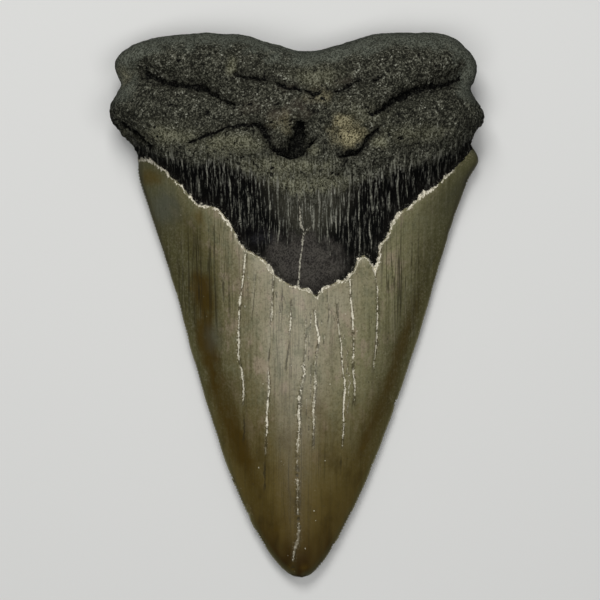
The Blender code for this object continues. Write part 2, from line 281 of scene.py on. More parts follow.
# %% The cracks of the crown
CRACKS = [
    (0.20, [(-21.4, 21, -0.3), (-21.5, 14, -0.3), (-21.6, 8, 0)]),
    (0.16, [(-24.6, 20, 0), (-24.9, 12, -0.4), (-24.6, 2, -0.3), (-24.4, -4, 0)]),
    (0.16, [(-18.4, 16, -0.2), (-18.9, 6, -0.5), (-18.6, -4, 0)]),
    (0.28, [(-13.1, 14.5, 0.6), (-13.9, 7, 0.8), (-14.9, -0.8, 0.85), (-15.2, -12.4, 0.7),
            (-14.1, -16.3, 0.7), (-13.9, -22.8, 0.6), (-13.6, -30.6, -0.7), (-13.9, -37.1, 0)]),
    (0.18, [(-10.4, 9, -0.3), (-11.2, 0, -0.7), (-12.0, -5, 0)]),
    (0.28, [(-5.9, 9.3, 0.4), (-6.4, -1.8, 0.5), (-7.1, -11.8, -0.8), (-7.2, -17, 0.5),
            (-7.4, -25.8, 0.85), (-7.9, -34.8, 0.8), (-8.4, -43.8, -0.9), (-8.4, -49, 0)]),
    (0.17, [(-3.6, 5, -0.2), (-3.7, 0, -0.7), (-4.4, -9, 0)]),
    (0.22, [(-1.4, 2, 0.2), (-1.6, -5, 0.7), (-2.2, -11, -0.7), (-3.2, -22, 0)]),
    (0.24, [(2.2, 3.5, 0), (2.4, -4, 0.2), (2.2, -10.8, 0.5), (2.2, -14, 0.2)]),
    (0.44, [(1.9, -15, 0.4), (2.2, -17, 1), (1.8, -18.2, 0.35), (0.9, -20.7, 0.3),
            (0.8, -22.5, 0.8), (0.8, -26, 0.65), (0.7, -30.8, 0.55), (0.3, -36, 0.4),
            (0.2, -42.6, 0.35), (0.1, -43.6, -0.8), (0.1, -44.6, 0.45), (0.3, -48, 0.3),
            (0.4, -53.8, 0.35), (0.3, -54.8, -0.8), (0.4, -55.8, 0.3), (0.5, -59.9, 0.3),
            (-0.2, -62.8, 0.35), (-0.8, -65.4, 0.4), (-1.2, -67.9, -0.6)]),
    (0.30, [(4.6, -0.5, 0.2), (5.0, -3.6, 1), (5.8, -7.9, 1), (5.2, -11.0, 0.35), (4.6, -21.8, 0.4),
            (4.4, -31.9, 0.5), (4.2, -38.9, 0)]),
    (0.17, [(8.0, 4.6, -0.2), (8.3, -2, -0.5), (8.0, -9, 0)]),
    (0.26, [(10.4, 3, 0.1), (10.6, -3, 0.4), (11.6, -10.8, 0.7), (12.4, -18.8, 1), (12.3, -30.8, 1),
            (11.6, -39.9, -0.4), (11.4, -46, 0)]),
    (0.30, [(13.8, 7.3, 1), (14.6, -3.8, 1), (14.8, -13.7, 0.9), (15.0, -21.8, 0.5), (14.9, -27, 0)]),
    (0.28, [(20.3, 9.3, 1), (21.1, 4.2, 1), (20.9, -5.7, 0.7), (20.3, -13.7, 0.4), (20.0, -18, 0)]),
    (0.16, [(24.2, 19, -0.2), (24.9, 9, -0.5), (24.6, 1, 0)]),
    (0.16, [(29.6, 22, 0), (29.9, 12, -0.4), (29.0, 4, 0)]),
    (0.42, [(0.8, 33, 0), (0.8, 28, 0.6), (1.0, 22.5, 1), (1.8, 18.9, 1), (1.0, 12, 1), (0.4, 5, 0.6)]),
    (0.22, [(3.9, 21.2, 0.1), (3.2, 20.2, 0.5), (1.9, 18.6, 0.4), (1.6, 17.8, 0)]),
]


def beside_cracks(x, y):
    """For each place, how far it is beside its nearest crack, in half widths of that crack, and
    how full the crack is there."""
    beside = np.full(len(x), 99.0)
    fill = np.zeros(len(x))
    waves = [[noise.noise((v / size, size, 0)) for v in y] for size in (1.1, 6.0)]
    wander = np.array(waves).T @ (0.12, 0.3)
    for half_width, crack in CRACKS:
        crack_x, crack_y, crack_fill = np.array(crack[::-1]).T
        gap = (x - np.interp(y, crack_y, crack_x) - wander) / half_width
        closer = (abs(gap) < abs(beside)) & (y > crack_y[0]) & (y < crack_y[-1])
        beside[closer] = gap[closer]
        fill[closer] = (np.interp(y, crack_y, crack_fill) * (1 - ramp(3, 5, abs(gap))))[closer]
    return beside, fill


print("cracks:", len(CRACKS), "of", sum(len(crack) for half_width, crack in CRACKS), "places")

# %% [markdown]
# ## A finer skin
# Small relief needs small faces. Dividing the whole tooth evenly would spend most of them on
# smooth enamel, and make the part too heavy to reuse. So the skin is divided only where
# something is to be cut, and these helpers say how far each place is from such a mark.


# %% Helpers that measure where faces and edges are
def nearest(places, path):
    """How far each place is from a path, and how far along the path its nearest point is."""
    distance = np.full(len(places), np.inf)
    along = np.zeros(len(places))
    done = 0.0
    for start, end in zip(np.array(path[:-1]), np.array(path[1:])):
        run = end - start
        length = math.hypot(*run)
        share = np.clip((places - start) @ run / length**2, 0, 1)
        gap = np.hypot(*(places - start - share[:, None] * run).T)
        closer = gap < distance
        distance[closer] = gap[closer]
        along[closer] = (done + share * length)[closer]
        done += length
    return distance, along


def face_facts(piece):
    """Where the middle of each face is on the plan, in mm, and which faces look up."""
    middles = on_plan(read(piece.data.polygons, "center", 3) / MM)
    return middles, read(piece.data.polygons, "normal", 3)[:, 2] > -0.1


def edge_facts(piece):
    """The middle, the run and the length of each edge, in mm."""
    ends = read(piece.data.vertices, "co", 3)[read(piece.data.edges, "vertices", 2, np.int32)] / MM
    run = ends[:, 1] - ends[:, 0]
    return ends.mean(axis=1), abs(run), np.linalg.norm(run, axis=1)


# %% [markdown]
# ## Where the folds run
# The root has two lobes on each side, and folds run between them and around the hole in its
# middle. Each fold is a short path on the plan, because the skin has to be fine along it now,
# and it is cut along the same path later.

# %% The folds of the root
FOLDS = [  # path of each fold of the root, its depth and half width in mm, and the strength of its painted shade
    ([(-45.7, 57.0), (-43.3, 59.6), (-41.6, 61.2), (-39.3, 60.8)], 0.25, 0.6, 0.2),
    ([(-39.3, 60.4), (-37.0, 59.8), (-34.6, 58.9), (-32.2, 58.3)], 1.5, 0.6, 1),
    ([(-32.2, 58.3), (-28.9, 57.7), (-25.6, 57.2), (-23.6, 56.5)], 1.35, 0.5, 1),
    ([(-23.6, 56.5), (-21.0, 55.1), (-18.5, 53.7), (-16.0, 52.4)], 1.35, 0.32, 1),
    ([(20.6, 50.6), (23.0, 52.2), (25.3, 53.8), (28.1, 55.0), (31.0, 56.2)], 1.7, 0.46, 1),
    ([(31.0, 56.2), (35.6, 57.6), (39.8, 58.2), (42.2, 59.3)], 1.35, 0.5, 1),
    ([(-16.2, 60.4), (-12.5, 59.8), (-9.0, 59.2), (-6.0, 58.6)], 1.0, 0.4, 1),
    ([(-6.0, 58.6), (-2.5, 57.0), (0.3, 56.5), (4.5, 55.8)], 0.9, 0.38, 0.9),
    ([(4.5, 55.8), (9.2, 55.8), (11.9, 56.6), (15.4, 58.6), (21.2, 58.9)], 0.9, 0.36, 0.9),
    ([(-28.0, 42.4), (-23.7, 44.4), (-18.5, 46.6), (-13.9, 47.4), (-10.4, 47.6)], 0.8, 0.36, 0.8),
    ([(-9.9, 47.7), (-7.9, 46.1), (-6.1, 43.0), (-4.5, 40.9)], 1.4, 0.55, 1),
    ([(-5.2, 41.6), (-3.8, 40.4), (-1.7, 39.9), (0.9, 40.7), (3.6, 42.9)], 2.0, 0.95, 1),
    ([(0.6, 47.0), (0.4, 44.8), (-0.2, 42.6), (-0.6, 40.9)], 2.2, 1.25, 0.5),
    ([(12.0, 39.3), (15.0, 40.0), (17.0, 41.5)], 1.9, 0.62, 1),
    ([(17.0, 41.5), (18.1, 43.8), (20.2, 45.4), (22.4, 46.2)], 1.1, 0.42, 1),
    ([(-45.6, 47.2), (-43.7, 45.3), (-41.1, 43.9), (-39.3, 42.4), (-38.4, 40.3)], 1.8, 0.7, 0.85),
]
print("folds:", len(FOLDS))

# %% [markdown]
# ## Divide where the detail is
# One level of Subdivision Surface rounds the whole tooth. The root's side is divided once more,
# then the surroundings of the crown's cracks, and last the cracks themselves, the lip and the
# folds. A copy with three even levels is kept as the true rounded form, for a Shrinkwrap later.

# %% Divide in three rounds, ever closer to the marks
smooth_form = new_copy(blank.data, "smooth_form")
apply_modifier(smooth_form, "SUBSURF", levels=3, render_levels=3)
tooth = new_copy(blank.data, "megalodon_tooth")
apply_modifier(tooth, "SUBSURF", levels=1, render_levels=1)

middles, upward = face_facts(tooth)
root_side = middles[:, 1] > height_of(ENAMEL_LINE, middles[:, 0]) - 1
edit(tooth, bpy.ops.mesh.subdivide, faces=upward & root_side, quadcorner="INNERVERT")
for crack_reach, mark_reach in ((3.5, 0), (2.2, 1.1)):  # in half widths of a crack, and in mm
    middles, upward = face_facts(tooth)
    beside, fill = beside_cracks(*middles.T)
    below_lip = middles[:, 1] < height_of(ENAMEL_LINE, middles[:, 0])
    chosen = (abs(beside) < crack_reach) & (fill != 0) & below_lip
    chosen |= nearest(middles, ENAMEL_LINE)[0] < mark_reach
    if mark_reach:
        for path, depth, half_width, dark in FOLDS:
            chosen |= nearest(middles, path)[0] < mark_reach + half_width
    edit(tooth, bpy.ops.mesh.subdivide, faces=upward & chosen, quadcorner="INNERVERT")
    print("divided:", len(tooth.data.polygons), "faces")

# %% [markdown]
# ## Divide the band and the cutting edges
# The band's strands and the edge's serrations repeat in one direction only. So edges that run
# across the strands are divided until they are short enough, and edges that run along the rim
# get several cuts each, which costs far fewer faces than dividing both ways. Last, a Shrinkwrap
# draws all the new points onto the rounded form, because dividing alone leaves flat facets.

# %% Divide in one direction, then draw the skin onto the rounded form
STRAND_MESH = 0.3  # mm between points across the strands
SERRATION_CUTS = 7
RIM_NEAR_EDGE = 0.6  # mm, an edge this close to the rim runs along it
RIM_EDGE = 0.7  # mm, and is divided if it is longer than this
for turn in (1, 2):
    middles, run, length = edge_facts(tooth)
    x, y, z = middles.T
    in_band = (y > height_of(ENAMEL_LINE, x) + 0.9) & (y < height_of(BAND_TOP, x) + 4)
    in_band &= z > LINGUAL_Z
    edit(tooth, bpy.ops.mesh.subdivide, edges=in_band & (run[:, 0] > STRAND_MESH))
    print("band divided, round", turn, "of 2:", len(tooth.data.polygons), "faces")
seam = read(tooth.data.edges, "use_seam", kind=bool)
middles, run, length = edge_facts(tooth)
rim_middles = middles[seam & (middles[:, 1] < SHOULDER_Y)]
rim_middles = rim_middles[np.argsort(rim_middles[:, 1]), :2]
tip_x = rim_middles[0, 0]
rim_halves = [rim_middles[rim_middles[:, 0] < tip_x], rim_middles[rim_middles[:, 0] > tip_x]]
from_rim = np.min([nearest(middles[:, :2], half)[0] for half in rim_halves], axis=0)
along_rim = (from_rim < RIM_NEAR_EDGE) & (run[:, 1] > run[:, 0]) & (length > RIM_EDGE)
chosen = along_rim & (middles[:, 1] < SHOULDER_Y)
edit(tooth, bpy.ops.mesh.subdivide, edges=chosen, number_cuts=SERRATION_CUTS)
apply_modifier(tooth, "SHRINKWRAP", target=smooth_form)
bpy.data.objects.remove(smooth_form)
bpy.data.objects.remove(blank)
print("rim places:", [len(half) for half in rim_halves], "faces:", len(tooth.data.polygons))

# %% [markdown]
# ## Relief
# The relief is cut as a sculptor would, one kind of mark at a time, each as a height in mm that
# moves the skin's points. A Displace modifier for each mark could do that too. Numbers for each
# point are chosen here because they can also be kept on the mesh as named values, and then the
# colours follow the relief exactly. First, each point learns its place: how far it is past the
# enamel's lip, from the cutting edge and from the outline.

# %% What each point knows about its place
EVEN = (1, 1, 1)
LIP_RAGS = [(0.8, 2, EVEN, 0, 0.20), (2.4, 2, EVEN, 1, 0.28)]  # size, detail, stretch, seed, height
LABIAL_RAGS = [(2.5, 3, EVEN, 0, 0.35)]
LABIAL_BAND = 1.5  # mm, the bare band is this narrow on the labial side
skin = tooth.data
places = read(skin.vertices, "co", 3) / MM
normals = read(skin.vertices, "normal", 3)
drawn = on_plan(places)
x, y = drawn.T
lingual = normals[:, 2] > 0
SEED_STEP = 31.7  # how far apart two seeds are in the noise


def rough(size, detail=2, stretch=EVEN, seed=0):
    """Random heights at every point, about -1 to 1, whose lumps are about this size in mm."""
    scaled = places / (size * np.array(stretch)) + seed * SEED_STEP
    return np.array([noise.fractal(place, 1.0, 2.0, detail) for place in scaled.tolist()])


def layered(layers):
    """A sum of rough heights. Each layer has its size, detail, stretch, seed and height in mm."""
    return sum(height * rough(*layer) for *layer, height in layers)


def signed_distance(line):
    """Distance from a line that runs from left to right, above it on the root's side."""
    return nearest(drawn, line)[0] * np.sign(y - height_of(line, x))


def spot_reach(centre_x, centre_y, reach_x, reach_y):
    """How far each point is from the middle of a spot, as a share of the spot's reach."""
    return np.hypot((x - centre_x) / reach_x, (y - centre_y) / reach_y)


past_lip = signed_distance(ENAMEL_LINE) + layered(LIP_RAGS)
past_labial_lip = signed_distance(LABIAL_LINE) + layered(LABIAL_RAGS)
past_enamel = np.where(lingual, past_lip, past_labial_lip)
left_gap, left_along = nearest(places[:, :2], rim_halves[0])
right_gap, right_along = nearest(places[:, :2], rim_halves[1])
from_rim = np.minimum(left_gap, right_gap)
inwards = np.where(left_gap < right_gap, 1.0, -1.0)  # which way along x leads off the rim
along_rim = np.where(left_gap < right_gap, left_along, right_along)
from_outline = np.min([nearest(places[:, :2], line)[0] for line in outline], axis=0)
lip_y = np.where(lingual, height_of(ENAMEL_LINE, x), height_of(LABIAL_LINE, x))
top_y = np.where(lingual, height_of(BAND_TOP, x), lip_y + LABIAL_BAND)
rise = (y - lip_y) / np.maximum(top_y - lip_y, 1)  # 0 at the enamel, 1 at the root
print("points:", len(x), "of them on the lingual face:", int(lingual.sum()))

# %% [markdown]
# ## The enamel's relief
# A real crown is never quite smooth. Its enamel ends in a broken face, shallow flutes run down
# it, and every crack is a little sunk. The flutes are noise that is stretched along the tooth.
# The labial side is given the same cracks, mirrored and moved, so that it doesn't stay blank.

# %% Enamel: the lip cut again, soft flutes and cracks
LIP_EDGE, LIP_RUN = -0.08, 0.45  # mm past the lip between which its broken face drops
ENAMEL_FADE = -0.6  # mm past the lip, where the enamel's own relief starts to fade
FLUTES = [(5.0, 2, (1, 14, 8), 1, 0.10), (1.6, 2, (1, 20, 10), 2, 0.025)]
FLUTE_MARGIN = 6  # mm from the cutting edge, where the flutes reach their depth
CRACK_DEPTH = 0.1  # mm
LABIAL_CRACKS = (4, 3)  # mm, how far the mirrored cracks are moved
mirror_x = np.where(lingual, x, LABIAL_CRACKS[0] - x)
mirror_y = np.where(lingual, y, y - LABIAL_CRACKS[1])
crack, crack_fill = beside_cracks(mirror_x, mirror_y)
up = np.where(lingual, -step_height(places) * ramp(LIP_EDGE, LIP_RUN, past_lip), 0)
on_enamel = 1 - ramp(ENAMEL_FADE, 0, past_enamel)
out = on_enamel * ramp(0, FLUTE_MARGIN, from_rim) * layered(FLUTES)  # moved along the normal
groove = np.exp(-(crack**2)) * ramp(0, 0.4, abs(crack_fill))
out -= on_enamel * groove * CRACK_DEPTH
print("points on enamel:", int((on_enamel > 0.5).sum()), "in cracks:", int((groove > 0.5).sum()))

# %% [markdown]
# ## The strands of the band
# Between root and crown, a band of dentine lies bare. Thin pale strands hang over its dark
# ground from the root, like a fringe. They could be painted on, but a true ridge also catches
# the light. So the band is counted off in strands, each is put out of step and given its own
# length by a sine of its number, and noise lets them all sway.

# %% Dentine: where the strands stand
STRAND_PITCH = 1.15  # mm from one strand to the next
STRAND_SPREAD = 0.36  # how unevenly they stand, as a share of the pitch
STRAND_SWAY = [(5.0, 1, (1, 2.2, 2), 3, 0.8), (1.6, 1, (1, 2.5, 2), 4, 0.2)]
STRAND_LEAN, LEAN_FROM = 0.03, 30  # mm to the side for each mm above this height
STRAND_SIDE = 0.22  # mm over which a strand's flank falls
SPREAD_STEP, LUCK_STEP = 12.99, 78.2  # steps that shuffle the sines from strand to strand
sway = layered(STRAND_SWAY)
across = (x + STRAND_LEAN * (y - LEAN_FROM) + sway) / STRAND_PITCH
strand_gap = np.full(len(x), 99.0)
luck = np.zeros(len(x))  # from 0 to 1, and another for each strand
for neighbour in (-1, 0, 1):
    number = np.round(across) + neighbour
    gap = abs(across - number - STRAND_SPREAD * np.sin(number * SPREAD_STEP)) * STRAND_PITCH
    closer = gap < strand_gap
    strand_gap[closer] = gap[closer]
    luck[closer] = (0.5 + 0.5 * np.sin(number * LUCK_STEP))[closer]
half_width = 0.04 + 0.12 * luck + 0.5 * ramp(0.75 + 0.2 * luck, 1.15, rise)  # they merge at the root
ridge = 1 - ramp(half_width * 0.5, half_width + STRAND_SIDE, strand_gap)
ridge *= ramp(0.75 - 1.0 * luck, 1.1 - 0.65 * luck, rise) * (0.55 + 0.45 * luck)
print("strands across the band:", int(np.ptp(np.round(across[lingual]))))

# %% [markdown]
# ## Strong strands and the smooth patch
# A few strands are longer and stronger than the rest, so their paths are given one by one.
# Low in the middle, the band is worn to a smooth patch that keeps little more than those few.
# Above the band, the ridges give way to the granular root, most sharply at the sides.

# %% Dentine: strong strands, the smooth patch and the end of the band
STREAKS = [  # the strongest strands, each from the root down
    [(18.4, 39.5), (19.1, 33), (19.5, 27), (20.4, 21), (21.0, 17)],
    [(-1.9, 34), (-1.6, 27), (-1.8, 19)],
    [(8.6, 34), (8.9, 28), (9.2, 21), (9.0, 15)],
    [(4.6, 32), (4.7, 24), (4.4, 17)],
]
PATCH_MIDDLE, PATCH_REACH = (0.8, 10), (12.0, 9.5)  # mm
GRADE_SIDES, GRADE_MIDDLE = 1.2, 3.0  # mm over which the band gives way to the root
GRADE_X, GRADE_REACH = 2, 9  # mm, where it does so most slowly
STRAND_HEIGHT = 0.25  # mm
streak = np.zeros(len(x))
for path in STREAKS:
    gap, along = nearest(np.column_stack([x + sway * 0.4, y]), path)
    length = path[0][1] - path[-1][1]
    end_fade = 1 - ramp(length * 0.55, length, along)
    streak = np.maximum(streak, (1 - ramp(0.10, 0.40, gap)) * end_fade)
patch_reach = spot_reach(*PATCH_MIDDLE, *PATCH_REACH) + rough(3.2, 3, seed=9) * 0.3
smooth_patch = np.where(lingual, 1 - ramp(0.55, 1.25, patch_reach), 0)
ridge = np.maximum(ridge * (1 - 0.85 * smooth_patch), streak) * lingual
grade = GRADE_SIDES + GRADE_MIDDLE * np.exp(-(((x - GRADE_X) / GRADE_REACH) ** 2))
above_band = (y - top_y) / grade + rough(2.0, 2, (1, 3, 2), 8) * 0.7
above_band = np.clip(np.where(lingual, above_band, past_labial_lip - LABIAL_BAND), -8, 8)
in_band = 1 - ramp(-0.5, 1.2, above_band)
on_dentine = ramp(0.0, 0.5, past_enamel)
out += on_dentine * in_band * (ridge - 0.35) * STRAND_HEIGHT
print("mean ridge in the band:", round(float(ridge[(in_band > 0.9) & lingual].mean()), 2))

# %% [markdown]
# ## The root's surface
# The root is spongy bone-like dentine, lumpy on three scales. Noise of three sizes gives that.
# Only its top, along the outline, was rubbed smoother in the sea, so the two finer sizes are
# much weaker there.

# %% Dentine: lumps on three scales, and the smooth top
LUMPS_LARGE = [(6, 3, EVEN, 11, 0.38)]
LUMPS_FINE = [(2.0, 3, EVEN, 12, 0.30), (0.8, 2, EVEN, 13, 0.16)]
TOP_RIM_RAGS = [(4, 3, EVEN, 10, 3)]
RIM_NEAR, RIM_FAR = 1.0, 7.0  # mm from the outline between which the smooth top ends
RIM_LOW, RIM_HIGH = 50, 56  # mm, it starts between these heights
on_root = ramp(-0.5, 1.5, np.where(lingual, y - top_y, past_labial_lip - 1))
top_rim = 1 - ramp(RIM_NEAR, RIM_FAR, from_outline + layered(TOP_RIM_RAGS))
top_rim *= ramp(RIM_LOW, RIM_HIGH, y)
out += on_root * layered(LUMPS_LARGE)
out += on_root * (1 - 0.7 * top_rim) * layered(LUMPS_FINE)
print("points on the root:", int((on_root > 0.5).sum()), "smooth:", int((top_rim > 0.5).sum()))

# %% [markdown]
# ## Folds
# Folds cross the root where its lobes meet, and around the hole through which blood vessels
# went in. A fold could be pushed in with one wide brush, but a real one is a narrow, torn line
# in a wide, shallow valley. So each path is cut twice: once wide and faint, once narrow and
# ragged.

# %% Cut the folds
VALLEY_REACH, VALLEY_SHARE = 4, 0.25  # a valley's width and depth, as parts of its fold's
DEEP = 1.3  # mm, a fold that is deeper than this has hardly any gaps
wobble = rough(1.4, 3, seed=14)
ragged = rough(0.7, 2, seed=18)
unbroken = ramp(-0.55, 0.0, rough(2.6, 2, seed=19))
cavity_shade = np.zeros(len(x))
valley_shade = np.zeros(len(x))
for path, depth, half_width, dark in FOLDS:
    gap, along = nearest(drawn + 0.35 * wobble[:, None], path)
    length = nearest(np.array(path[-1:]), path)[1][0]
    fade = np.minimum(ramp(-1.5, 1.0, along), ramp(-1.5, 1.0, length - along))
    cut = (1 - ramp(0.45, 1.35, gap / half_width + 0.8 * ragged)) * fade * lingual
    cut *= np.maximum(unbroken, 0.9 * (depth > DEEP))
    wide = np.exp(-((gap / (half_width * VALLEY_REACH)) ** 2)) * fade * lingual
    out -= cut * depth + wide * depth * VALLEY_SHARE
    # painted shade: the narrow cut is darkened in colour, and its wide valley more faintly
    cavity_shade = np.maximum(cavity_shade, cut * dark)
    valley_shade = np.maximum(valley_shade, wide * dark)
print("folds:", len(FOLDS), "points in them:", int((cavity_shade > 0.5).sum()))

# %% [markdown]
# ## Holes, lumps and pits
# Small nutrient holes open between the folds, a few lumps stand up beside them, and pits are all
# over the root. The holes and lumps are placed one by one, because the eye knows a tooth by
# them. The pits are too many for that, so they are the deepest spots of a fine noise.

# %% Press the holes in, and pull the lumps out
HOLES = [  # middle, reach along x and y, depth, and the strength of its painted shade
    (46.2, 42.6, 1.8, 0.9, 0.8, 0.9),
    (6.6, 54.2, 0.7, 0.5, 0.5, 0.8),
    (-23.2, 50.5, 0.6, 0.6, 0.5, 0.7),
    (19.6, 50.0, 0.6, 0.7, 0.5, 0.8),
    (27.1, 43.4, 1.3, 0.4, 0.4, 0.6),
    (-11.8, 52.6, 0.9, 0.5, 0.4, 0.6),
    (-2.4, 41.0, 2.7, 0.9, 0.8, 1.0),
    (14.6, 40.4, 2.2, 0.7, 0.5, 1.0),
]
LUMPS = [  # middle, reach along x and y, height, which is below 0 for a hollow
    (-3.2, 44.6, 1.4, 2.2, 1.3),
    (4.6, 40.4, 2.4, 1.9, 1.5),
    (12.6, 45.8, 3.8, 4.0, -0.9),
    (-16.8, 62.4, 1.5, 2.2, 0.6),
    (-24.0, 50.0, 9.0, 3.5, 0.5),
    (22.0, 43.0, 2.0, 1.6, 0.4),
    (30.0, 50.0, 5.0, 2.5, 0.5),
]
PIT_SIZE, PIT_DEPTH, PIT_SHADE = 0.9, 0.3, 0.4
for *spot, depth, dark in HOLES:
    reach = spot_reach(*spot) + 0.35 * wobble
    hole = np.where(lingual, 1 - ramp(0.4, 1.15, reach), 0)
    out -= hole * depth
    # painted shade: each hole is darkened in colour as well
    cavity_shade = np.maximum(cavity_shade, hole * dark)
for *spot, height in LUMPS:
    reach = spot_reach(*spot) + 0.3 * wobble
    out += np.where(lingual, np.exp(-(reach**2)), 0) * height
pits = ramp(0.20, 0.45, -rough(PIT_SIZE, 1, seed=15)) * on_root * (1 - 0.8 * top_rim)
out -= pits * PIT_DEPTH
# painted shade: the pits are darkened in colour as well
cavity_shade = np.maximum(cavity_shade, pits * PIT_SHADE)
print("holes:", len(HOLES), "lumps:", len(LUMPS), "points in pits:", int((pits > 0.5).sum()))

# %% [markdown]
# ## Cutting edges
# The edges are saws: serrations of under a millimetre run all along them, worn down in places,
# and chipped. Notches could be cut with a Boolean, one by one. Here the edge's own points are
# pulled inwards by a cosine of their place along it, which keeps the skin whole. At the right
# shoulder the enamel ends in a rounded corner that stands out, so that is a pull outwards.

# %% Serrations, chips and the rounded corner
SERRATION = 0.85  # mm from one serration to the next
SERRATION_DEPTH = 0.45  # mm
SERRATION_REACH = 0.45  # mm from the edge
WEAR_SIZE, PHASE_SIZE, PHASE_SHARE = 6, 3, 0.25
EAR_PLACE, EAR_REACH, EAR_BULGE = (46.6, 38.5), (3.5, 3.0), 1.7  # the enamel's rounded corner
CHIPS = [  # middle, reach, depth
    (35.7, 10.9, 0.9, 0.55),
    (-12.6, -51.6, 0.7, 0.35),
    (-12.0, -53.6, 0.9, 0.4),
    (-30.6, 3.4, 0.6, 0.3),
    (26.2, -25.0, 0.7, 0.3),
    (9.9, -62.0, 0.6, 0.3),
]
wear = ramp(-0.7, 0.5, rough(WEAR_SIZE, 2, seed=16))
wear *= ramp(1, 6, along_rim) * ramp(0, 5, SHOULDER_Y - y)  # none at the tip and the shoulders
phase = 2 * math.pi * (along_rim / SERRATION + PHASE_SHARE * rough(PHASE_SIZE, 1, seed=17))
notches = SERRATION_DEPTH * wear * (0.5 - 0.5 * np.cos(phase))
shift = notches * np.exp(-((from_rim / SERRATION_REACH) ** 2))
ear = spot_reach(*EAR_PLACE, *EAR_REACH)
shift -= EAR_BULGE * np.exp(-(ear**2))
chip = np.zeros(len(x))
for centre_x, centre_y, reach, depth in CHIPS:
    bite = np.exp(-((np.hypot(x - centre_x, y - centre_y) / reach) ** 2))
    shift += depth * bite
    chip = np.maximum(chip, bite)
print("points in notches:", int((notches > 0.1).sum()), "chips:", len(CHIPS))

# %% [markdown]
# ## Move the skin
# All marks are added up before anything moves, so that no mark bends another. The dressed
# tooth must stay inside the box of its solid and on the surface that it lies on, so the few
# points that would pass are held back.

# %% Move every point once
RIM_LEAN = (0.93, 0.36)  # the way off the rim: mostly sideways, and a little towards the root
moved = places + normals * out[:, None]
moved[:, 2] += up
moved[:, 0] += inwards * shift * RIM_LEAN[0]
moved[:, 1] += shift * RIM_LEAN[1]
moved[:, 2] = np.maximum(moved[:, 2], 0)
box_low, box_high = np.array(cad_low) / MM, np.array(cad_high) / MM
over = np.maximum(moved - box_high, box_low - moved).max()
print("most that the skin passes the solid's box, in mm:", round(float(over), 3))
moved = np.clip(moved, box_low, box_high)
skin.vertices.foreach_set("co", (moved * MM).astype(np.float32).ravel())
skin.update()

# %% [markdown]
# ## Stains
# Minerals stained the tooth in patches while it lay in the sea bed: ochre and rust from iron,
# cream from lime, and bands that follow the cutting edges, where the enamel is thin. A painted
# texture could hold them. Soft spots with ragged edges are lighter to carry and suit any
# size, so they are worked out for each point and kept on the mesh. The cream spots that sit on
# the root's lumps are painted light.

# %% Helpers that draw a stain
STAIN_RAGS = 3.0  # mm, the size of the rags of a stain's edge
LEFT, RIGHT = 1.0, -1.0
stain_edges = {seed: rough(STAIN_RAGS, 3, seed=seed) for seed in (20, 21, 22)}


def rim_band(side, path, top, low):
    """A soft band that follows one cutting edge. The path gives, at some heights, how far its
    middle is from the edge and how far it reaches. It fades out between each pair of heights."""
    heights, middles, reaches = np.array(path[::-1]).T
    middle, reach = np.interp(y, heights, middles), np.interp(y, heights, reaches)
    across = (from_rim - middle + stain_edges[20] * 0.9) / reach
    fade_y = y + 3 * stain_edges[21]
    fade = ramp(*low, fade_y) * (1 - ramp(*top, fade_y))
    return np.where(inwards == side, np.exp(-(across**2)) * fade, 0)


def stain(seed, ragged, spots):
    """Soft spots of a stain, each with its middle, its reach along x and y and its strength."""
    total = np.zeros(len(x))
    for *spot, strength in spots:
        reach = spot_reach(*spot) + stain_edges[seed] * ragged
        total = np.maximum(total, strength * np.exp(-(reach**2)))
    return np.where(lingual, total, 0)


